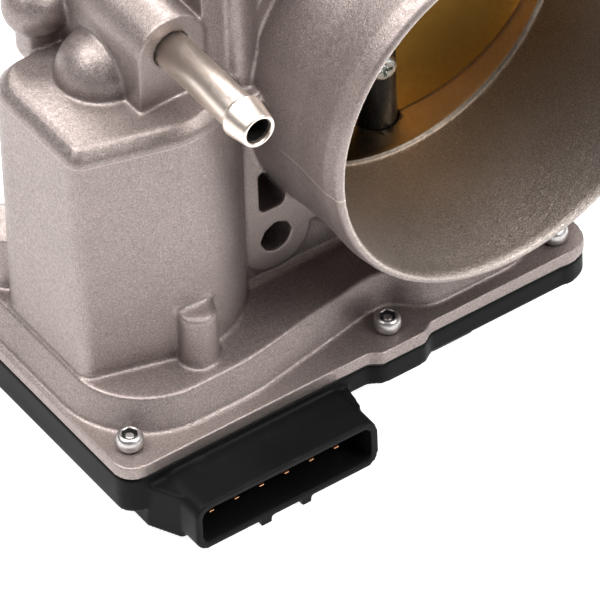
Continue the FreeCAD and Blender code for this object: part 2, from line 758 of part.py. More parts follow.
def gear_wire(teeth, module, shift, phase):
    """Closed outline of an involute spur gear; a tooth is centred at phase degrees."""
    pitch = module * teeth / 2
    base = pitch * math.cos(PRESSURE)
    tip = pitch + module * (1 + shift)
    root = pitch - module * (1.25 - shift)
    half = math.pi / (2 * teeth) + 2 * shift * math.tan(PRESSURE) / teeth - BACKLASH * module / pitch
    flank_steps = 5
    start = max(base, root)
    points = []
    for tooth in range(teeth):
        centre = math.radians(phase) + 2 * math.pi * tooth / teeth
        flank = []
        for step in range(flank_steps):
            radius = start + (tip - start) * step / (flank_steps - 1)
            turn = half + involute(PRESSURE) - involute(math.acos(base / radius))
            flank.append((radius, turn))
        flank.insert(0, (root, flank[0][1] + 0.15 * module / root))
        for radius, turn in flank:
            points.append(polar(radius, centre - turn))
        for radius, turn in reversed(flank):
            points.append(polar(radius, centre + turn))
    return Part.makePolygon(points + points[:1])


def polar(radius, angle, z=0.0):
    """A point at a radius and an angle in radians."""
    return V(radius * math.cos(angle), radius * math.sin(angle), z)


def gear_solid(teeth, module, shift, phase, low, high):
    """A spur gear about the origin between two heights."""
    face = Part.Face(gear_wire(int(teeth), module, shift, phase))
    solid = face.extrude(V(0, 0, high - low))
    solid.translate(V(0, 0, low))
    return solid


def build_sector():
    """Toothed sector on the shaft: web, hub, toothed arc and stop lug."""
    low = num("sector_z")
    high = low + 5.5
    teeth = num("sector_teeth")
    module = num("sector_module")
    mesh = bearing_angle(SHAFT, IDLER)
    gap = mesh + 180.0 / teeth
    gear = gear_solid(teeth, module, -SHIFT, gap, low, high)
    first = mesh - 19.0
    last = mesh + 92.0
    reach = 40.0
    wedge_points = [V(0, 0, 0)]
    for step in range(5):
        angle = math.radians(first + (last - first) * step / 4)
        wedge_points.append(polar(reach, angle))
    wedge = Part.Face(Part.makePolygon(wedge_points + wedge_points[:1])).extrude(V(0, 0, high - low))
    wedge.translate(V(0, 0, low))
    rim = cylinder(40, low, high).cut(cylinder(21.5, low - 1, high + 1))
    toothed = gear.common(wedge)
    web = cylinder(22.5, low + 1.5, low + 3.5).common(wedge)
    hub = cylinder(7.4, low - 3.5, high)
    lug = block((5.0, -3.0, low), (15.0, 4.0, high + 2.2))
    shape = toothed.common(rim).fuse([web, hub, lug]).removeSplitter()
    shape = shape.cut(cylinder(num("shaft_dia / 2"), low + 0.3, high + 5))
    shape = shape.cut(cylinder(5.0, low - 4, low - 0.4))
    shape_part("sector_gear", shape, SHAFT)
    magnet = cylinder(5.0, low - 3.3, low - 0.4).cut(cylinder(2.0, low - 4, low))
    shape_part("sensor_magnet", magnet, SHAFT)


def build_idler():
    """Two-step gear on a fixed pin, with lightening holes in its wheel."""
    wheel_low = num("wheel_z")
    wheel_high = wheel_low + 3.5
    pinion_high = num("ceiling_z") - 1.2
    towards_shaft = bearing_angle(IDLER, SHAFT)
    towards_motor = bearing_angle(IDLER, MOTOR)
    teeth = num("wheel_teeth")
    wheel = gear_solid(teeth, num("wheel_module"), -SHIFT, towards_motor + 180.0 / teeth,
                       wheel_low, wheel_high)
    for index in range(6):
        spot = polar(15.0, math.radians(60 * index + 30))
        wheel = wheel.cut(cylinder(4.0, wheel_low - 1, wheel_high + 1, spot.x, spot.y))
    pinion = gear_solid(num("idler_teeth"), num("sector_module"), SHIFT, towards_shaft,
                        wheel_high - 0.1, pinion_high)
    hub = cylinder(5.2, wheel_low - 0.8, wheel_high)
    shape = wheel.fuse([pinion, hub]).removeSplitter()
    shape = shape.cut(cylinder(2.0 + FIT_GAP, wheel_low - 5, pinion_high + 5))
    shape_part("idler_gear", shape, IDLER)
    place = ("%.4f" % IDLER.x, "%.4f" % IDLER.y, "0")
    low = num("pan_z + floor_thickness - 0.8")
    high = num("ceiling_z + 5.5")
    turned("idler_pin", place, "XZ_Plane", [(0, low, 0), (2.0, low, 0.3), (2.0, high, 0.3), (0, high, 0)])


# ---------------------------------------------------------------- motor

BLADES = (-8.5, -1.5)


def build_motor():
    """Can, magnets, end plate, turning parts, screws, wave spring and blades."""
    can_top = num("tower_top - 6")
    can_low = num("ceiling_z")
    radius = num("motor_dia / 2")
    place = ("motor_x", "motor_y", "0")
    turned("motor_can", place, "XZ_Plane",
           [(3.0, can_top - 1.2, 0), (radius - 1.2, can_top - 1.2, 0), (radius - 1.2, can_low, 0),
            (radius, can_low, 0), (radius, can_top, 1.5), (3.0, can_top, 0)])
    low = can_low + 14
    magnets = cylinder(radius - 1.25, low, can_top - 4).cut(cylinder(radius - 5.2, low - 1, can_top))
    gaps = block((-30, -4, low - 1), (30, 4, can_top))
    shape_part("motor_magnets", magnets.cut(gaps), MOTOR)
    plate = cylinder(radius - 1.3, can_low, can_low + 3.0)
    ears = block((-EAR.Length, -3.4, can_low - 1.8), (EAR.Length, 3.4, can_low))
    ears.rotate(V(0, 0, 0), V(0, 0, 1), math.degrees(math.atan2(EAR.y, EAR.x)))
    for side in (-1, 1):
        ears = ears.fuse(cylinder(3.4, can_low - 1.8, can_low, side * EAR.x, side * EAR.y))
    flange = cylinder(radius - 0.5, can_low - 1.8, can_low)
    end_plate = plate.fuse([ears, flange]).removeSplitter().cut(cylinder(2.4, -80, 0))
    for side in (-1, 1):
        end_plate = end_plate.cut(cylinder(1.6, -80, 0, side * EAR.x, side * EAR.y))
    for x in BLADES:
        end_plate = end_plate.cut(block((x - 1.8, -10.5, -80), (x + 1.8, -9.5, 0)))
    shape_part("motor_end_plate", end_plate, MOTOR)
    screws = []
    for side in (-1, 1):
        screw = pan_screw(2.6, 1.8, 1.45, 4.4)
        screw.rotate(V(0, 0, 0), V(1, 0, 0), 180)
        screw.translate(V(side * EAR.x, side * EAR.y, can_low - 1.8))
        screws.append(screw)
    shape_part("motor_screws", Part.makeCompound(screws), MOTOR)
    shaft = [(0, num("wheel_z") - 1.5, 0), (1.6, num("wheel_z") - 1.5, 0.2),
             (1.6, can_top + 0.6, 0.2), (0, can_top + 0.6, 0)]
    turned("motor_shaft", place, "XZ_Plane", shaft)
    core = cylinder(radius - 5.7, low + 1, can_top - 5).cut(cylinder(1.6, low, can_top))
    for index in range(3):
        slot = block((radius - 11, -1.0, low), (radius, 1.0, can_top))
        slot.rotate(V(0, 0, 0), V(0, 0, 1), 120 * index)
        core = core.cut(slot)
    commutator = cylinder(4.5, can_low + 5, low + 1).cut(cylinder(1.6, can_low, low + 2))
    shape_part("motor_rotor", core.fuse(commutator).removeSplitter(), MOTOR)
    bushes = []
    for start, end in ((can_low - 1.8, can_low + 3.0), (can_top - 1.2, can_top)):
        outer = 2.4 if end < 0 else 3.0
        bushes.append(cylinder(outer, start, end).cut(cylinder(1.6 + FIT_GAP, start - 1, end + 1)))
    shape_part("motor_bushes", Part.makeCompound(bushes), MOTOR)
    brushes = []
    for side in (-1, 1):
        inner, outer = sorted((side * 4.65, side * 8.0))
        brushes.append(block((inner, -2, can_low + 3.0), (outer, 2, can_low + 10)))
    shape_part("motor_brushes", Part.makeCompound(brushes), MOTOR)
    towards = bearing_angle(MOTOR, IDLER)
    pinion = gear_solid(num("pinion_teeth"), num("wheel_module"), SHIFT, towards,
                        num("wheel_z") - 0.8, num("wheel_z") + 5.0)
    shape_part("motor_pinion", pinion.cut(cylinder(1.6, -80, 0)), MOTOR)
    turned("motor_spring", place, "XZ_Plane",
           [(9.0, can_top + 0.1, 0), (13.5, can_top + 0.1, 0), (13.5, can_top + 0.6, 0), (9.0, can_top + 0.6, 0)])
    blades = []
    low_end = num("pan_z + floor_thickness")
    for x in BLADES:
        blades.append(block((x - 1.6, -10.4, low_end), (x + 1.6, -9.6, can_low + 8)))
    shape_part("motor_terminals", Part.makeCompound(blades), MOTOR)


# ---------------------------------------------------------------- springs, sensor, nipples

def coil_path(radius, pitch, halves):
    """Wire of half-turn arcs, each tilted so that it climbs half a pitch."""
    slope = math.atan2(pitch / 4, radius)
    reach = radius * math.cos(slope)
    arcs = []
    for index in range(halves):
        side = 1 if index % 2 == 0 else -1
        middle = pitch / 2 * (index + 0.5)
        start = V(side * reach, 0, middle - pitch / 4)
        finish = V(-side * reach, 0, middle + pitch / 4)
        arcs.append(Part.Arc(start, V(0, side * radius, middle), finish).toShape())
    return Part.Wire(arcs)


def build_return_spring():
    """Torsion spring round the lower bearing boss, with its plastic sleeve."""
    radius = 13.2
    wire = 0.75
    low = num("ceiling_z") + 1.0
    path = coil_path(radius, 1.75, 5)
    start = path.Vertexes[0].Point
    profile = Part.Wire(Part.makeCircle(wire, start, V(0, 1, 0)))
    coil = path.makePipeShell([profile], True, True)
    coil.translate(V(0, 0, low))
    shape_part("return_spring", coil, SHAFT)
    foot = low - 1.2
    turned("spring_bush", ("0", "shaft_y", "0"), "XZ_Plane",
           [(10.3, foot, 0), (11.9, foot, 0), (11.9, foot + 6.8, 0), (10.3, foot + 6.8, 0)])


def build_sensor_board():
    """Position-sensor board in the cover, under the magnet, with its coil chip."""
    top = num("wheel_z") - 0.9
    board = block((-7.5, -13, top - 1.2), (12, 11, top))
    chip = block((-3.0, -3.0, top), (3.0, 3.0, top + 0.4))
    shape_part("sensor_board", board.fuse(chip).removeSplitter(), SHAFT)


def build_stop_screw():
    """Screw that stops the sector's lug at the closed position."""
    tip = V(12, -26.2, -54)
    solid = Part.makeCylinder(2.0, 20.4, tip, V(0, 1, 0))
    slot = block((11.6, -6.4, -57), (12.4, -4, -51))
    shape_part("stop_screw", solid.cut(slot))


def nipple_corners(length, seat):
    """Half section of a pressed-in hose nipple with a conical end."""
    outer = num("pipe_dia / 2")
    inner = num("pipe_bore / 2")
    return [(inner, -seat, 0), (outer, -seat, 0), (outer, length - 6.6, 0.4),
            (outer + 0.75, length - 5.8, 0.5), (outer - 0.45, length, 0.35), (inner, length, 0.25)]


def build_nipples():
    """Front coolant nipple along -Y and a second one, pointing up."""
    length = num("pipe_length")
    front = turned("coolant_pipe_front", ("pipe_x", "flange_y", "pipe_z"), "XY_Plane",
                   nipple_corners(length, 9.8))
    front.Placement = FreeCAD.Placement(front.Placement.Base, FreeCAD.Rotation(V(1, 0, 0), 180))
    turned("coolant_pipe_top", ("pipe_x", "riser_y", "pipe_z + 7.8"), "XZ_Plane",
           nipple_corners(22.0, 5.0))


# ---------------------------------------------------------------- build and write

def build_all():
    """Every piece of the throttle body."""
    build_housing()
    build_cover()
    build_gasket()
    build_cover_screws()
    build_pins()
    build_shaft()
    build_disc()
    build_disc_screws()
    build_bearings()
    build_sector()
    build_idler()
    build_motor()
    build_return_spring()
    build_sensor_board()
    build_stop_screw()
    build_nipples()


def check_all():
    """Stop if an object failed or a piece is empty or not valid."""
    for item in doc.Objects:
        if "Invalid" in item.State or "Error" in item.State:
            raise RuntimeError("%s failed: %s" % (item.Label, item.State))
    for part in PARTS:
        if part.Shape.isNull() or not part.Shape.isValid():
            raise RuntimeError(part.Label + " is not a valid shape")


def write_all():
    """One STEP file for each piece."""
    os.makedirs("parts", exist_ok=True)
    for part in PARTS:
        part.Shape.exportStep("parts/" + part.Label + ".step")
        print("%-20s %10.1f mm3" % (part.Label, part.Shape.Volume))


build_all()
doc.recompute()
check_all()
write_all()
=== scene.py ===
"""Looks of the throttle body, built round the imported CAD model.

Places are metres in the shared frame: the intake mouth faces -Y, the engine face is at y = 0, the
motor tower is at -X and the gear cover is at -Z. The bore's axis is the Y axis.
"""

import json
import math

import bmesh
import bpy
import numpy as np
from mathutils import Matrix, Vector


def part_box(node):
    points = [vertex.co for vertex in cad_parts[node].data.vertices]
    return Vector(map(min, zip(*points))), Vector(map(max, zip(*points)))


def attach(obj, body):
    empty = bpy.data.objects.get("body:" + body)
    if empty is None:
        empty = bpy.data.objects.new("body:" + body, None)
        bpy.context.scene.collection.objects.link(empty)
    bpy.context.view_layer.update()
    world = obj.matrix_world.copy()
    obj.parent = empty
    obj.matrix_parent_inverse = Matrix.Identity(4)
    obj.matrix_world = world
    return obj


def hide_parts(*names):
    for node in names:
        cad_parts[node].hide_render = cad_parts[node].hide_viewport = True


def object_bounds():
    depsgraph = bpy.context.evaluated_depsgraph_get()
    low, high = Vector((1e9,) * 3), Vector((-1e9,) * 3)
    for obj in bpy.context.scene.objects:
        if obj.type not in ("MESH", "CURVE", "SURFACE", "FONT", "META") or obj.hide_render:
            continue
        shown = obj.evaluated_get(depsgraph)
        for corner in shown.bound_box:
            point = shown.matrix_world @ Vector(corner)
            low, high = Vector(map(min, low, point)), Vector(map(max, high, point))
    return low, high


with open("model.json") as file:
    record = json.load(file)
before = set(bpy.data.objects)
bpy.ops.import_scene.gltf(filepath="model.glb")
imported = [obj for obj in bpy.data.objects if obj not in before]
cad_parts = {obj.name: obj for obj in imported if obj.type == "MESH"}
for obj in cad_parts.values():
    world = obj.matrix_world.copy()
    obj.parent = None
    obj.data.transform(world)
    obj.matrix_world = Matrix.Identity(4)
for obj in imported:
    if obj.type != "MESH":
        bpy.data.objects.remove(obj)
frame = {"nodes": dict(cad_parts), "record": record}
CAD_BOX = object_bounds()
NODES = frame["nodes"]
MM = 0.001

# ---------------------------------------------------------------- places

# The air passage, from the mouth over the ring and its bevel, and the outside of the snout.
BORE_RADIUS = 37.5 * MM
MOUTH_RADIUS = 40.0 * MM
RING_Y = -43.0 * MM
BEVEL = 0.6 * MM
PASSAGE_Y = [-79.3 * MM, RING_Y, RING_Y + BEVEL, 1.0 * MM]
PASSAGE_RADIUS = [MOUTH_RADIUS, BORE_RADIUS + 0.9 * MM, BORE_RADIUS, BORE_RADIUS]
SNOUT_Y = [-80.5 * MM, -76.0 * MM, -66.5 * MM, -50.5 * MM, 0.0]
SNOUT_RADIUS = [42.0 * MM, 42.6 * MM, 42.1 * MM, 43.0 * MM, 43.0 * MM]
LIP_Y = -77.5 * MM

# The flange: its bolt holes, where their bosses begin, and the open pocket by the tower's hole.
BOLT_OFFSET = 37.0 * MM
BOLT_RADIUS = 3.5 * MM
BOSS_Y = -46.0 * MM
POCKET_Y = -36.0 * MM
POCKET_Z = -24.0 * MM
RIM_Z = -56.0 * MM

# The tower's crown and the stub beside it, in millimetres.
CROWN_X, CROWN_Z = -84.5, 11.1
CROWN_BACK_Y, CROWN_RIGHT_X = -22, -48
TOWER_CORNER = (-85.5, -52.0)
TOWER_SLANT = math.tan(math.radians(16.8))
STUB_TOP = (-63.2, -62.0, -34.1)

# Where the intake's darker, browner end, a painted reflection of the brass plate, and the bore's
# lighter side, a painted reflection beside its painted shade, fade in.
INTAKE_REFLECTION_FADE_Y = (-70.0 * MM, -46.0 * MM)
BORE_SHADE_FADE_X = (-6.0 * MM, 16.0 * MM)

# Where the flash lines run.
SNOUT_LINE_Z = -3.0 * MM
SNOUT_LINE_X = (-47.0 * MM, -36.0 * MM)
SNOUT_LINE_END_Y = -62.0 * MM
TOWER_LINE_Z = 8.6 * MM
TOWER_LINE_END_X = -50.0 * MM

# The screws' heads and how deep the nipples are seated, the latter in millimetres.
HEAD_HEIGHT = 3.5 * MM
HEAD_TOP = 0.6 * MM
HEAD_REACH = 8.0 * MM
NIPPLE_SEATS = (("coolant_pipe_front", "-Y", 9.8), ("coolant_pipe_top", "Z", 5.0))


# ---------------------------------------------------------------- shader pieces

EDGE = 0.12 * MM            # how far a mask takes to fade
NOISE_ROUGHNESS = 0.55
STAIN_SCALE, CLOUD_SCALE, FLOW_SCALE, RUB_SCALE = 75.0, 140.0, 45.0, 260.0


def empty_material(name):
    """A node material with nothing but its output."""
    material = bpy.data.materials.new(name)
    material.use_nodes = True
    tree = material.node_tree
    tree.nodes.clear()
    output = tree.nodes.new("ShaderNodeOutputMaterial")
    return material, tree, output.inputs["Surface"]


def new_material(name):
    """A node material with one Principled shader."""
    material, tree, surface = empty_material(name)
    shader = tree.nodes.new("ShaderNodeBsdfPrincipled")
    tree.links.new(shader.outputs["BSDF"], surface)
    return material, tree, shader


def place_axes(tree):
    """The object's own coordinates, which are metres in the shared frame, and their three values."""
    place = tree.nodes.new("ShaderNodeTexCoord").outputs["Object"]
    axes = tree.nodes.new("ShaderNodeSeparateXYZ")
    tree.links.new(place, axes.inputs["Vector"])
    return place, [axes.outputs[name] for name in "XYZ"]


def noise(tree, scale, detail=3.0, stretch=(1, 1, 1)):
    """A noise value over the object's own coordinates."""
    place = tree.nodes.new("ShaderNodeTexCoord")
    mapping = tree.nodes.new("ShaderNodeMapping")
    mapping.inputs["Scale"].default_value = stretch
    texture = tree.nodes.new("ShaderNodeTexNoise")
    texture.inputs["Scale"].default_value = scale
    texture.inputs["Detail"].default_value = detail
    texture.inputs["Roughness"].default_value = NOISE_ROUGHNESS
    tree.links.new(place.outputs["Object"], mapping.inputs["Vector"])
    tree.links.new(mapping.outputs["Vector"], texture.inputs["Vector"])
    return texture.outputs["Fac"]


def spread(tree, value, low, high, start=0.3, end=0.7):
    """A value that runs from low to high while its input runs from start to end."""
    node = tree.nodes.new("ShaderNodeMapRange")
    node.inputs["From Min"].default_value = start
    node.inputs["From Max"].default_value = end
    node.inputs["To Min"].default_value = low
    node.inputs["To Max"].default_value = high
    tree.links.new(value, node.inputs["Value"])
    return node.outputs["Result"]


def below(tree, value, limit, soft=EDGE):
    """A mask that is one below the limit."""
    return spread(tree, value, 1, 0, limit, limit + soft)


def above(tree, value, limit, soft=EDGE):
    """A mask that is one above the limit."""
    return spread(tree, value, 0, 1, limit, limit + soft)


def blend(tree, factor, first, second):
    """A colour between two colours, of which the first may be a socket."""
    node = tree.nodes.new("ShaderNodeMix")
    node.data_type = "RGBA"
    tree.links.new(factor, node.inputs[0])
    if isinstance(first, bpy.types.NodeSocket):
        tree.links.new(first, node.inputs[6])
    else:
        node.inputs[6].default_value = (*first, 1.0)
    node.inputs[7].default_value = (*second, 1.0)
    return node.outputs[2]


def relief(tree, value, distance, strength, under=None):
    """A bump from a value, over an earlier bump if there is one."""
    node = tree.nodes.new("ShaderNodeBump")
    node.inputs["Distance"].default_value = distance
    node.inputs["Strength"].default_value = strength
    tree.links.new(value, node.inputs["Height"])
    if under is not None:
        tree.links.new(under, node.inputs["Normal"])
    return node.outputs["Normal"]


def bore_distance_value(tree, place):
    """Distance from the bore's axis, as a value."""
    flat = tree.nodes.new("ShaderNodeMapping")
    flat.inputs["Scale"].default_value = (1, 0, 1)
    length = tree.nodes.new("ShaderNodeVectorMath")
    length.operation = "LENGTH"
    tree.links.new(place, flat.inputs["Vector"])
    tree.links.new(flat.outputs["Vector"], length.inputs[0])
    return length.outputs["Value"]


def combined(tree, first, second, operation="MULTIPLY"):
    """Two masks multiplied or added."""
    node = tree.nodes.new("ShaderNodeMath")
    node.operation = operation
    tree.links.new(first, node.inputs[0])
    tree.links.new(second, node.inputs[1])
    return node.outputs["Value"]


def mixed(tree, mask, first, second):
    """The second surface where the mask is one, else the first."""
    node = tree.nodes.new("ShaderNodeMixShader")
    tree.links.new(mask, node.inputs["Fac"])
    tree.links.new(first, node.inputs[1])
    tree.links.new(second, node.inputs[2])
    return node.outputs["Shader"]


def ridge(tree, coordinate, centre, half, gate):
    """One along the line where a coordinate equals centre, inside the gate mask."""
    offset = tree.nodes.new("ShaderNodeMath")
    offset.operation = "SUBTRACT"
    offset.inputs[1].default_value = centre
    tree.links.new(coordinate, offset.inputs[0])
    away = tree.nodes.new("ShaderNodeMath")
    away.operation = "ABSOLUTE"
    tree.links.new(offset.outputs["Value"], away.inputs[0])
    return combined(tree, spread(tree, away.outputs["Value"], 1, 0, 0.0, half), gate)


# ---------------------------------------------------------------- surfaces

def parting_lines(tree):
    """Thin flash lines: along the snout's left side and, fainter, round the tower's crown."""
    x, y, z = place_axes(tree)[1]
    past_left = above(tree, x, SNOUT_LINE_X[0], 1.0 * MM)
    left_side = combined(tree, past_left, below(tree, x, SNOUT_LINE_X[1], 1.0 * MM))
    snout = combined(tree, below(tree, y, SNOUT_LINE_END_Y, 4.0 * MM), left_side)
    tower = spread(tree, x, 0.35, 0, TOWER_LINE_END_X, TOWER_LINE_END_X + 1.0 * MM)
    snout_line = ridge(tree, z, SNOUT_LINE_Z, 0.22 * MM, snout)
    tower_line = ridge(tree, z, TOWER_LINE_Z, 0.2 * MM, tower)
    return combined(tree, snout_line, tower_line, "ADD")


def cast_surface(tree, dark, light, metallic, rough, grain, depth, strength, spots):
    """Blasted cast aluminium: fine bright and dark grains, soft stains and a painted highlight on
    convex edges.
    """
    shader = tree.nodes.new("ShaderNodeBsdfPrincipled")
    fine = noise(tree, grain, 2.0)
    coarse = noise(tree, grain / 3.3, 3.0)
    stain = noise(tree, STAIN_SCALE, 4.0)
    pale = tuple(min(1.0, c * 1.45) for c in light)
    deep = tuple(c * 0.52 for c in dark)
    # Pointiness drives a painted highlight along convex edges.
    edge_highlight = tree.nodes.new("ShaderNodeNewGeometry").outputs["Pointiness"]
    flash = parting_lines(tree)
    base = blend(tree, spread(tree, stain, 0.25, 0.75), dark, light)
    base = blend(tree, spread(tree, fine, 0.0, spots, 0.52, 0.72), base, pale)
    base = blend(tree, spread(tree, fine, spots, 0.0, 0.26, 0.46), base, deep)
    # The painted highlight on convex edges.
    base = blend(tree, spread(tree, edge_highlight, 0.0, 0.55, 0.515, 0.56), base, pale)
    base = blend(tree, flash, base, tuple(c * 2.2 for c in light))
    tree.links.new(base, shader.inputs["Base Color"])
    shader.inputs["Metallic"].default_value = metallic
    tree.links.new(spread(tree, coarse, rough - 0.07, rough + 0.09), shader.inputs["Roughness"])
    bump = relief(tree, coarse, depth * 1.4 * MM, strength)
    bump = relief(tree, fine, depth * MM, strength, bump)
    bump = relief(tree, flash, 0.12 * MM, 0.5, bump)
    tree.links.new(bump, shader.inputs["Normal"])
    return shader.outputs["BSDF"]


def metal_surface(tree, dark, light, rough, grain=900.0, stretch=(1, 1, 1), depth=0.02,
                  strength=0.35, metallic=1.0):
    """Drawn, turned or plated metal: marks along the way it was worked, and a cloudy gloss."""
    shader = tree.nodes.new("ShaderNodeBsdfPrincipled")
    marks = noise(tree, grain, 4.0, stretch)
    cloud = noise(tree, CLOUD_SCALE, 3.0)
    base = blend(tree, spread(tree, cloud, 0.0, 1.0), dark, light)
    base = blend(tree, spread(tree, marks, 0.0, 0.35, 0.45, 0.75), base, tuple(c * 0.7 for c in dark))
    tree.links.new(base, shader.inputs["Base Color"])
    shader.inputs["Metallic"].default_value = metallic
    tree.links.new(spread(tree, marks, rough - 0.06, rough + 0.1), shader.inputs["Roughness"])
    tree.links.new(relief(tree, marks, depth * MM, strength), shader.inputs["Normal"])
    return shader.outputs["BSDF"]


def metal(name, dark, light, rough, **options):
    """A material that is one worked metal all over."""
    material, tree, surface = empty_material(name)
    tree.links.new(metal_surface(tree, dark, light, rough, **options), surface)
    return material


def plastic(name, dark, light, rough, grain=1500.0, depth=0.03, specular=0.5):
    """Moulded plastic or rubber: a fine grain, faint flow clouds and rubbed spots."""
    material, tree, shader = new_material(name)
    fine = noise(tree, grain, 3.0)
    flow = noise(tree, FLOW_SCALE, 4.0, (1, 1, 2.5))
    rub = noise(tree, RUB_SCALE, 5.0)
    pale = tuple(min(1.0, c * 1.8 + 0.01) for c in light)
    base = blend(tree, spread(tree, flow, 0.0, 1.0), dark, light)
    base = blend(tree, spread(tree, rub, 0.0, 0.35, 0.6, 0.8), base, pale)
    tree.links.new(base, shader.inputs["Base Color"])
    shader.inputs["Specular IOR Level"].default_value = specular
    tree.links.new(spread(tree, flow, rough - 0.06, rough + 0.08), shader.inputs["Roughness"])
    tree.links.new(relief(tree, fine, depth * MM, 0.3), shader.inputs["Normal"])
    return material


def casting(name):
    """The casting: blasted outside, a rough intake painted lighter inside with a painted brown
    reflection deeper in, machined ring, a bore painted gold with painted shade and a painted
    reflection, and engine face.
    """
    material, tree, surface = empty_material(name)
    place, (across, along, _) = place_axes(tree)
    radius = bore_distance_value(tree, place)

    outside = cast_surface(tree, (0.215, 0.179, 0.167), (0.275, 0.229, 0.214), 0.75, 0.45,
                           grain=3200.0, depth=0.08, strength=0.6, spots=0.75)
    # The intake is a copy of the cast skin painted lighter, painted light inside the snout; the
    # deeper copy is darker and browner, a painted reflection of the brass plate.
    mouth = cast_surface(tree, (0.27, 0.232, 0.206), (0.42, 0.367, 0.336), 0.8, 0.44,
                         grain=3200.0, depth=0.13, strength=0.8, spots=1.0)
    deep = cast_surface(tree, (0.29, 0.225, 0.165), (0.40, 0.315, 0.24), 0.8, 0.44,
                        grain=3600.0, depth=0.11, strength=0.8, spots=0.8)
    ring = metal_surface(tree, (0.18, 0.15, 0.123), (0.235, 0.197, 0.163), 0.48)
    # The bore's colours are painted light: the gold is a painted reflection of the brass plate, the
    # darker left side is painted shade and the lighter right side is a painted reflection.
    bore_painted_shade = metal_surface(tree, (0.12, 0.085, 0.052), (0.145, 0.105, 0.063), 0.34,
                           depth=0.0005, strength=0.05)
    bore_painted_reflection = metal_surface(tree, (0.92, 0.65, 0.38), (0.97, 0.70, 0.42), 0.42,
                          depth=0.0005, strength=0.05)
    faced = metal_surface(tree, (0.36, 0.33, 0.315), (0.44, 0.41, 0.39), 0.4,
                          grain=300.0, stretch=(1, 1, 9), depth=0.015, strength=0.3)

    # The intake fades from the lighter painted copy at the mouth to the painted brown reflection
    # deeper in.
    intake = mixed(tree, spread(tree, along, 0, 1, *INTAKE_REFLECTION_FADE_Y), mouth, deep)
    # The bore fades from painted shade at -X to a painted reflection at +X.
    bore = mixed(tree, spread(tree, across, 0, 1, *BORE_SHADE_FADE_X), bore_painted_shade, bore_painted_reflection)
    near_bore = below(tree, radius, BORE_RADIUS + 0.5 * MM)
    past_ring = combined(tree, near_bore, above(tree, along, RING_Y - 0.05 * MM))
    past_bevel = combined(tree, near_bore, above(tree, along, RING_Y + BEVEL))
    look = mixed(tree, below(tree, radius, MOUTH_RADIUS + 0.9 * MM), outside, intake)
    look = mixed(tree, past_ring, look, ring)
    look = mixed(tree, past_bevel, look, bore)
    look = mixed(tree, above(tree, along, -0.3 * MM), look, faced)
    tree.links.new(look, surface)
    return material


# Each finish: its maker, its material's name, dark and light colour, roughness, and what is special.
FINISHES = {
    "cover": (plastic, "black_cover", (0.004, 0.0039, 0.0039), (0.0065, 0.0063, 0.0064), 0.45,
              {"specular": 0.06}),
    "rubber": (plastic, "seal_rubber", (0.012, 0.012, 0.012), (0.02, 0.02, 0.02), 0.7,
               {"grain": 2200.0, "depth": 0.05}),
    "nylon": (plastic, "natural_nylon", (0.62, 0.57, 0.46), (0.72, 0.67, 0.56), 0.45, {}),
    "carbon": (plastic, "pressed_carbon", (0.03, 0.03, 0.032), (0.06, 0.06, 0.065), 0.6, {}),
    "board": (plastic, "circuit_board", (0.01, 0.09, 0.045), (0.015, 0.13, 0.07), 0.35, {}),
    "nickel": (metal, "satin_nickel", (0.44, 0.42, 0.41), (0.54, 0.52, 0.51), 0.36,
               {"grain": 1600.0, "depth": 0.004, "strength": 0.2}),
    "nipple": (metal, "drawn_nickel_pipe", (0.74, 0.64, 0.57), (0.79, 0.69, 0.61), 0.34,
               {"grain": 5000.0, "stretch": (1, 0.3, 1), "depth": 0.001, "strength": 0.1}),
    # The dark finish is painted shade, in the screws' recesses and the nipples' bores.
    "dark": (metal, "painted_shade_hollow", (0.05, 0.048, 0.047), (0.09, 0.086, 0.084), 0.5, {}),
    "copper": (metal, "tinned_copper", (0.62, 0.29, 0.15), (0.80, 0.42, 0.22), 0.3, {}),
    "shaft": (metal, "blackened_steel", (0.013, 0.0125, 0.013), (0.022, 0.021, 0.022), 0.3,
              {"grain": 700.0, "stretch": (5, 5, 0.6), "depth": 0.01, "strength": 0.3,
               "metallic": 0.6}),
    "brass": (metal, "satin_brass", (0.29, 0.155, 0.028), (0.325, 0.175, 0.034), 0.46,
              {"depth": 0.002, "strength": 0.1}),
    "zinc": (metal, "zinc_plate", (0.55, 0.57, 0.55), (0.72, 0.73, 0.70), 0.3, {"grain": 1500.0}),
    "steel": (metal, "ground_steel", (0.42, 0.42, 0.43), (0.56, 0.56, 0.57), 0.28, {}),
    "spring": (metal, "spring_wire", (0.25, 0.25, 0.26), (0.38, 0.38, 0.39), 0.35, {}),
    "magnet": (metal, "sintered_magnet", (0.06, 0.06, 0.065), (0.11, 0.11, 0.115), 0.5,
               {"grain": 1800.0}),
    "rotor": (metal, "laminated_iron", (0.16, 0.16, 0.17), (0.26, 0.26, 0.27), 0.45,
              {"stretch": (1, 1, 12)}),
    "drawn": (metal, "deep_drawn_steel", (0.40, 0.39, 0.385), (0.50, 0.49, 0.485), 0.4,
              {"stretch": (4, 4, 0.4)}),
}

SLOT_FINISH = {
    "cast_aluminium": "cast", "black_plastic": "cover", "seal_rubber": "rubber",
    "bright_screw": "nickel", "copper_pin": "copper", "black_steel": "shaft",
    "brass_plate": "brass", "bearing_steel": "steel", "bright_steel": "drawn",
    "gear_plastic": "nylon", "magnet": "magnet", "spring_steel": "spring",
    "rotor_steel": "rotor", "carbon": "carbon", "circuit_board": "board",
    "nipple_steel": "nipple",
}


def build_materials():
    """Every finish on the object, by name."""
    made = {"cast": casting("blasted_casting")}
    for key, (maker, name, dark, light, rough, options) in FINISHES.items():
        made[key] = maker(name, dark, light, rough, **options)
    return made


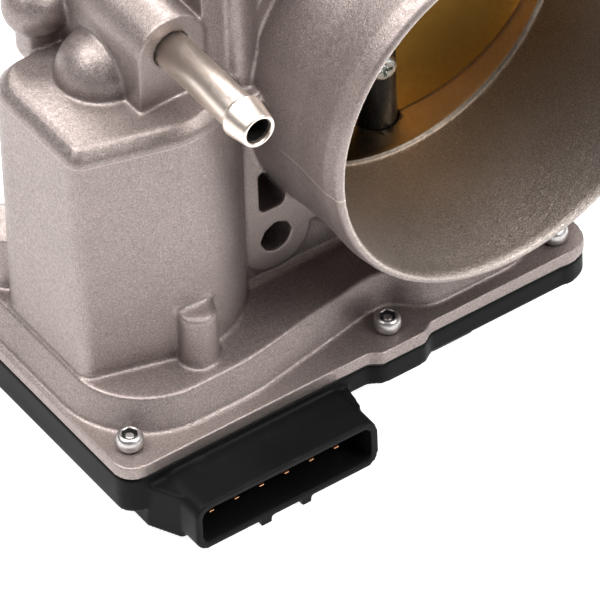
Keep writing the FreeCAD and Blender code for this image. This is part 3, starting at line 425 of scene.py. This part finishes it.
def finish_nodes(materials):
    """Each CAD node gets the finish of its slot; the plate's screws are zinc plated."""
    for part in frame["record"]["subparts"]:
        material = materials[SLOT_FINISH[part["material_slot"]]]
        for slot in NODES[part["node"]].material_slots:
            slot.link = "OBJECT"
            slot.material = material
    for slot in NODES["plate_screws"].material_slots:
        slot.material = materials["zinc"]


# ---------------------------------------------------------------- mesh helpers

def add_object(name, mesh, materials, body, replaced):
    """Links a mesh as a piece that rides on a body, in place of CAD nodes."""
    piece = bpy.data.objects.new(name, mesh)
    bpy.context.scene.collection.objects.link(piece)
    for material in materials:
        mesh.materials.append(material)
    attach(piece, body)
    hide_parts(*replaced)


def applied(obj):
    """The mesh of an object with its modifiers applied; the object itself is removed."""
    graph = bpy.context.evaluated_depsgraph_get()
    mesh = bpy.data.meshes.new_from_object(obj.evaluated_get(graph))
    bpy.data.objects.remove(obj)
    return mesh


def helper(mesh):
    """A temporary object for modifiers."""
    obj = bpy.data.objects.new("helper", mesh)
    bpy.context.scene.collection.objects.link(obj)
    return obj


def points_of(mesh):
    """The vertices as an array of points."""
    flat = np.empty(len(mesh.vertices) * 3, np.float32)
    mesh.vertices.foreach_get("co", flat)
    return flat.reshape(-1, 3).astype(float)


def remeshed(node, voxel):
    """One even skin round a CAD node."""
    obj = helper(NODES[node].data.copy())
    remesh = obj.modifiers.new("skin", "REMESH")
    remesh.mode = "VOXEL"
    remesh.voxel_size = voxel
    mesh = applied(obj)
    mesh.materials.clear()
    return mesh


def smoothed(mesh, weights, passes):
    """The mesh with its edges softened, as far as each point's weight allows."""
    obj = helper(mesh)
    obj.vertex_groups.clear()
    group = obj.vertex_groups.new(name="soft")
    tenths = np.round(np.clip(weights, 0, 1) * 10).astype(int)
    for tenth in range(1, 11):
        chosen = np.nonzero(tenths == tenth)[0].tolist()
        if chosen:
            group.add(chosen, tenth / 10, "REPLACE")
    smooth = obj.modifiers.new("soften", "SMOOTH")
    smooth.factor = 0.5
    smooth.iterations = passes
    smooth.vertex_group = "soft"
    return applied(obj)


def decimated(mesh, share, kept=None):
    """The mesh with fewer faces where it is flat, and all of them at the kept points."""
    obj = helper(mesh)
    reduce = obj.modifiers.new("reduce", "DECIMATE")
    reduce.ratio = share
    if kept is not None:
        obj.vertex_groups.clear()
        group = obj.vertex_groups.new(name="free")
        group.add(np.nonzero(~kept)[0].tolist(), 1.0, "REPLACE")
        reduce.vertex_group = "free"
    return applied(obj)


def shade_smooth(mesh):
    """Smooth shading on every face."""
    mesh.polygons.foreach_set("use_smooth", [True] * len(mesh.polygons))


# ---------------------------------------------------------------- housing and cover

# How near a point is to a true shape when it is moved onto it.
PASSAGE_REACH, SNOUT_REACH, BOLT_REACH, FACE_REACH = 0.4 * MM, 0.14 * MM, 0.5 * MM, 0.35 * MM
KEPT_FACES = 0.4            # the share of faces that decimation leaves


def bore_distance(points):
    """How far points are from the bore's axis."""
    return np.hypot(points[:, 0], points[:, 2])


def bolt_distance(points):
    """How far points are from the nearest bolt hole's axis."""
    return np.hypot(abs(points[:, 0]) - BOLT_OFFSET, abs(points[:, 2]) - BOLT_OFFSET)


def machined_weights(points):
    """Softening by place: full on cast skin, little where a tool has cut."""
    x, y, z = points.T
    bored = (bore_distance(points) < BORE_RADIUS + 1.2 * MM) & (y > RING_Y - 0.8 * MM)
    hole = np.hypot(x + BOLT_OFFSET, z + BOLT_OFFSET) < 5 * MM
    pocket = (abs(x + BOLT_OFFSET) < 5 * MM) & (abs(z - POCKET_Z) < 7 * MM)
    weights = np.ones(len(points))
    weights[bored] = 0.2
    weights[y > -0.6 * MM] = 0.1
    weights[z < RIM_Z] = 0.2
    weights[pocket & (y < POCKET_Y)] = 0.6
    weights[hole & (y < POCKET_Y)] = 0.0
    return weights


def falloff(distance, inner, outer):
    """One inside the inner distance, falling evenly to nothing at the outer distance."""
    return np.clip((outer - distance) / (outer - inner), 0, 1)


def round_weights(points):
    """Extra softening where the casting has larger radii: the tower's crown and the stub's top."""
    x, y, z = points.T / MM
    left = falloff(np.hypot(x - CROWN_X, z - CROWN_Z), 3.0, 6.0) * (y < CROWN_BACK_Y)
    front_edge = TOWER_CORNER[1] - (x - TOWER_CORNER[0]) * TOWER_SLANT
    front = falloff(np.hypot(y - front_edge, z - CROWN_Z), 2.4, 4.4) * (x < CROWN_RIGHT_X)
    stub_x, stub_y, stub_z = STUB_TOP
    to_stub = np.sqrt((x - stub_x) ** 2 + (y - stub_y) ** 2 + (z - stub_z) ** 2)
    stub = falloff(to_stub, 3.5, 6.0)
    return np.maximum.reduce([0.6 * left, 0.6 * front, 0.9 * stub])


def trued(mesh):
    """Moves the turned and flat surfaces of the casting exactly onto their shapes."""
    points = points_of(mesh)
    profiles = ((PASSAGE_Y, PASSAGE_RADIUS, PASSAGE_REACH), (SNOUT_Y, SNOUT_RADIUS, SNOUT_REACH))
    for places, radii, reach in profiles:
        radius = bore_distance(points)
        wanted = np.interp(points[:, 1], places, radii)
        near = (abs(radius - wanted) < reach) & (points[:, 1] > LIP_Y)
        scale = (wanted[near] / radius[near])[:, None]
        points[near] *= np.hstack([scale, np.ones_like(scale), scale])
    for across in (-BOLT_OFFSET, BOLT_OFFSET):
        for up in (-BOLT_OFFSET, BOLT_OFFSET):
            offset = points[:, [0, 2]] - (across, up)
            distance = np.hypot(offset[:, 0], offset[:, 1])
            near = (abs(distance - BOLT_RADIUS) < BOLT_REACH) & (points[:, 1] > BOSS_Y)
            offset = offset[near] * (BOLT_RADIUS / distance[near])[:, None]
            points[near, 0], points[near, 2] = across + offset[:, 0], up + offset[:, 1]
    points[points[:, 1] > -FACE_REACH, 1] = 0.0
    mesh.vertices.foreach_set("co", points.astype(np.float32).ravel())
    mesh.update()


def build_housing(materials):
    """The casting, with soft cast edges and cut faces left sharp."""
    voxel, edge_passes, round_passes = ((0.4 * MM, 7, 70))
    mesh = remeshed("throttle_housing", voxel)
    mesh = smoothed(mesh, machined_weights(points_of(mesh)), edge_passes)
    mesh = smoothed(mesh, round_weights(points_of(mesh)), round_passes)
    trued(mesh)
    round_bolts = bolt_distance(points_of(mesh)) < BOLT_RADIUS + 0.8 * MM
    mesh = decimated(mesh, KEPT_FACES, round_bolts)
    shade_smooth(mesh)
    add_object("cast_housing", mesh, [materials["cast"]], "housing",
               ["throttle_housing"])


def build_cover(materials):
    """The moulded cover, with its small moulded radii."""
    voxel, passes = ((0.4 * MM, 4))
    mesh = remeshed("gear_cover", voxel)
    mesh = smoothed(mesh, np.full(len(mesh.vertices), 0.8), passes)
    mesh = decimated(mesh, KEPT_FACES)
    shade_smooth(mesh)
    add_object("moulded_cover", mesh, [materials["cover"]], "housing",
               ["gear_cover"])


# ---------------------------------------------------------------- turned pieces

SCREW_SIDES, NIPPLE_SIDES = 60, 96
LOBES, LOBE_DEPTH = 6, 0.08 * MM


def lathe(profile, sides, seat, axis="Z", marks=(), lobes=()):
    """A turned mesh from rings of (radius, height) in millimetres.

    The bands that start at the marked rings have the second finish. The lobed rings aren't round.
    """
    points = []
    for row, (radius, height) in enumerate(profile):
        for step in range(sides):
            turn = 2 * math.pi * step / sides
            reach = radius * MM + (LOBE_DEPTH * math.cos(LOBES * turn) if row in lobes else 0.0)
            across, up = reach * math.cos(turn), reach * math.sin(turn)
            place = (across, up, height * MM) if axis == "Z" else (across, -height * MM, up)
            points.append(Vector(seat) + Vector(place))
    faces = []
    finishes = []
    for row in range(len(profile) - 1):
        for step in range(sides):
            ahead = (step + 1) % sides
            low, high = row * sides, (row + 1) * sides
            faces.append((low + step, low + ahead, high + ahead, high + step))
            finishes.append(1 if row in marks else 0)
    mesh = bpy.data.meshes.new("turned")
    mesh.from_pydata(points, [], faces)
    mesh.polygons.foreach_set("material_index", finishes)
    tidy = bmesh.new()
    tidy.from_mesh(mesh)
    bmesh.ops.remove_doubles(tidy, verts=tidy.verts, dist=1e-6)
    bmesh.ops.recalc_face_normals(tidy, faces=tidy.faces)
    tidy.to_mesh(mesh)
    tidy.free()
    shade_smooth(mesh)
    return mesh


def joined(meshes):
    """Several meshes as one."""
    total = bmesh.new()
    for mesh in meshes:
        total.from_mesh(mesh)
        bpy.data.meshes.remove(mesh)
    mesh = bpy.data.meshes.new("joined")
    total.to_mesh(mesh)
    total.free()
    return mesh


def screw_seats():
    """Where each cover screw's axis meets the rim, from the CAD node's separate solids."""
    points = points_of(NODES["cover_screws"].data)
    top = points[:, 2].max()
    heads = points[points[:, 2] > top - HEAD_TOP]
    seats = []
    while len(heads):
        near = np.hypot(heads[:, 0] - heads[0, 0], heads[:, 1] - heads[0, 1]) < HEAD_REACH
        group = heads[near]
        middle = (group.min(axis=0) + group.max(axis=0)) / 2
        seats.append((middle[0], middle[1], top - HEAD_HEIGHT))
        heads = heads[~near]
    return seats


def build_cover_screws(materials):
    """Barrel-headed screws with a six-lobed recess and a centre pin; the recess is painted dark as
    painted shade.
    """
    shank = [(0, -7.5), (1.5, -7.5), (1.8, -7.1), (1.8, -0.02)]
    barrel = [(2.2, 0.0), (2.4, 0.12), (2.64, 0.5), (2.8, 1.05), (2.86, 1.65), (2.82, 2.25),
              (2.68, 2.75), (2.45, 3.15), (2.15, 3.4), (1.9, 3.49), (1.72, 3.48)]
    recess = [(1.62, 3.38), (1.56, 3.2), (1.52, 1.7), (0.95, 1.7)]
    pin = [(0.93, 2.7), (0.87, 2.84), (0.7, 2.9), (0, 2.9)]
    profile = shank + barrel + recess + pin
    rim, wall, floor, middle = range(len(shank + barrel), len(shank + barrel + recess))
    meshes = [lathe(profile, SCREW_SIDES, seat, "Z", (wall, floor, middle), (rim, wall, floor))
              for seat in screw_seats()]
    # The recess bands get the dark finish, which is painted shade.
    finishes = [materials["nickel"], materials["dark"]]
    add_object("barrel_screws", joined(meshes), finishes, "housing",
               ["cover_screws"])


def nipple_profile(length, seat):
    """Hose nipple: straight tube, small shoulder, cone and a rounded mouth."""
    bore, tube = 2.8, 3.9
    outside = [(bore, -seat), (tube, -seat), (tube, length - 6.9), (3.93, length - 6.7),
               (4.02, length - 6.55), (4.5, length - 6.1), (4.58, length - 5.95),
               (4.62, length - 5.7), (4.6, length - 5.4), (4.54, length - 5.1)]
    mouth = [(3.75, length - 0.45), (3.62, length - 0.15), (3.42, length), (3.1, length - 0.03),
             (2.92, length - 0.2), (2.84, length - 0.5), (bore, length - 1.2)]
    return outside + mouth + [(bore, -seat)]


def build_nipples(materials):
    """Both hose nipples, smooth and many-sided, with painted shade in the bore."""
    finishes = [materials["nipple"], materials["dark"]]
    for name, axis, seat in NIPPLE_SEATS:
        low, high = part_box(name)
        middle = [(a + b) / 2 for a, b in zip(low, high)]
        if axis == "Z":
            length = (high[2] - low[2]) / MM - seat
            face = (middle[0], middle[1], low[2] + seat * MM)
        else:
            length = (high[1] - low[1]) / MM - seat
            face = (middle[0], high[1] - seat * MM, middle[2])
        profile = nipple_profile(length, seat)
        bore_row = len(profile) - 2
        # The bore's band gets the dark finish, which is painted shade.
        mesh = lathe(profile, NIPPLE_SIDES, face, axis, (bore_row,))
        add_object(name + "_turned", mesh, finishes, "housing", [name])


# ---------------------------------------------------------------- stage

CAMERA_ANGLES = (-33.375, 43.185, -2.287)       # azimuth, elevation and roll in degrees
CAMERA_PLACE = (-0.7599, -1.1550, 1.1846)
CAMERA_LENS, CAMERA_SENSOR = 540.0, 36.0
FLOOR_REACH = 12.0
FLOOR_GREY, FLOOR_GLOW, SKY_GLOW = 0.55, 0.93, 0.1
LIT_POINT = (-0.03, -0.04, -0.02)

# Each soft box: its place, its two sides and its power.
LIGHTS = {
    "back left": ((-0.55, 0.30, 1.0), (0.6, 0.5), 12.0),
    "left": ((-0.85, 0.0, 1.0), (0.5, 0.5), 2.5),
    "top": ((0.0, -0.15, 1.2), (0.8, 0.7), 12.0),
    "front right": ((0.42, -0.9, 0.9), (0.5, 0.5), 12.0),
    "right": ((0.85, -0.40, 0.85), (0.5, 0.5), 4.5),
    "back": ((0.40, 0.62, 0.78), (0.6, 0.5), 12.0),
}


def camera_axes(azimuth, elevation, roll):
    """Right, up and forward of a camera that looks along the azimuth, down by the elevation."""
    turn, down, lean = (math.radians(a) for a in (azimuth, elevation, roll))
    forward = Vector((-math.sin(turn) * math.cos(down), math.cos(turn) * math.cos(down),
                      -math.sin(down)))
    level = Vector((math.cos(turn), math.sin(turn), 0))
    upright = level.cross(forward)
    right = level * math.cos(lean) + upright * math.sin(lean)
    up = -level * math.sin(lean) + upright * math.cos(lean)
    return right, up, forward


def build_camera():
    """A long lens at the photograph's angle."""
    right, up, forward = camera_axes(*CAMERA_ANGLES)
    data = bpy.data.cameras.new("camera")
    data.sensor_width = CAMERA_SENSOR
    data.lens = CAMERA_LENS
    data.clip_start = 0.05
    data.clip_end = 50.0
    camera = bpy.data.objects.new("camera", data)
    bpy.context.scene.collection.objects.link(camera)
    matrix = Matrix((right, up, -forward)).transposed().to_4x4()
    matrix.translation = Vector(CAMERA_PLACE)
    camera.matrix_world = matrix
    bpy.context.scene.camera = camera


def build_lights():
    """Soft boxes that face the object."""
    for name, (place, sides, power) in LIGHTS.items():
        data = bpy.data.lights.new(name, "AREA")
        data.shape = "RECTANGLE"
        data.size, data.size_y = sides
        data.energy = power
        light = bpy.data.objects.new(name, data)
        bpy.context.scene.collection.objects.link(light)
        light.location = place
        aim = Vector(LIT_POINT) - Vector(place)
        light.rotation_euler = aim.to_track_quat("-Z", "Y").to_euler()


def build_stage():
    """A pale floor under the object, a dim sky and plain colours."""
    far = FLOOR_REACH
    low = CAD_BOX[0][2]
    corners = [(-far, -far, low), (far, -far, low), (far, far, low), (-far, far, low)]
    mesh = bpy.data.meshes.new("floor")
    mesh.from_pydata(corners, [], [(0, 1, 2, 3)])
    floor = bpy.data.objects.new("floor", mesh)
    bpy.context.scene.collection.objects.link(floor)
    material, _, shader = new_material("pale_floor")
    shader.inputs["Base Color"].default_value = (FLOOR_GREY, FLOOR_GREY, FLOOR_GREY, 1)
    shader.inputs["Roughness"].default_value = 0.9
    shader.inputs["Specular IOR Level"].default_value = 0.1
    shader.inputs["Emission Color"].default_value = (1, 1, 1, 1)
    shader.inputs["Emission Strength"].default_value = FLOOR_GLOW
    mesh.materials.append(material)

    world = bpy.data.worlds.new("studio")
    bpy.context.scene.world = world
    world.use_nodes = True
    background = world.node_tree.nodes["Background"]
    background.inputs["Color"].default_value = (1.0, 0.985, 0.975, 1)
    background.inputs["Strength"].default_value = SKY_GLOW
    view = bpy.context.scene.view_settings
    view.view_transform = "Standard"
    view.look = "None"


# ---------------------------------------------------------------- all of it


materials = build_materials()
finish_nodes(materials)
build_housing(materials)
build_cover(materials)
build_cover_screws(materials)
build_nipples(materials)
build_camera()
build_stage()
build_lights()
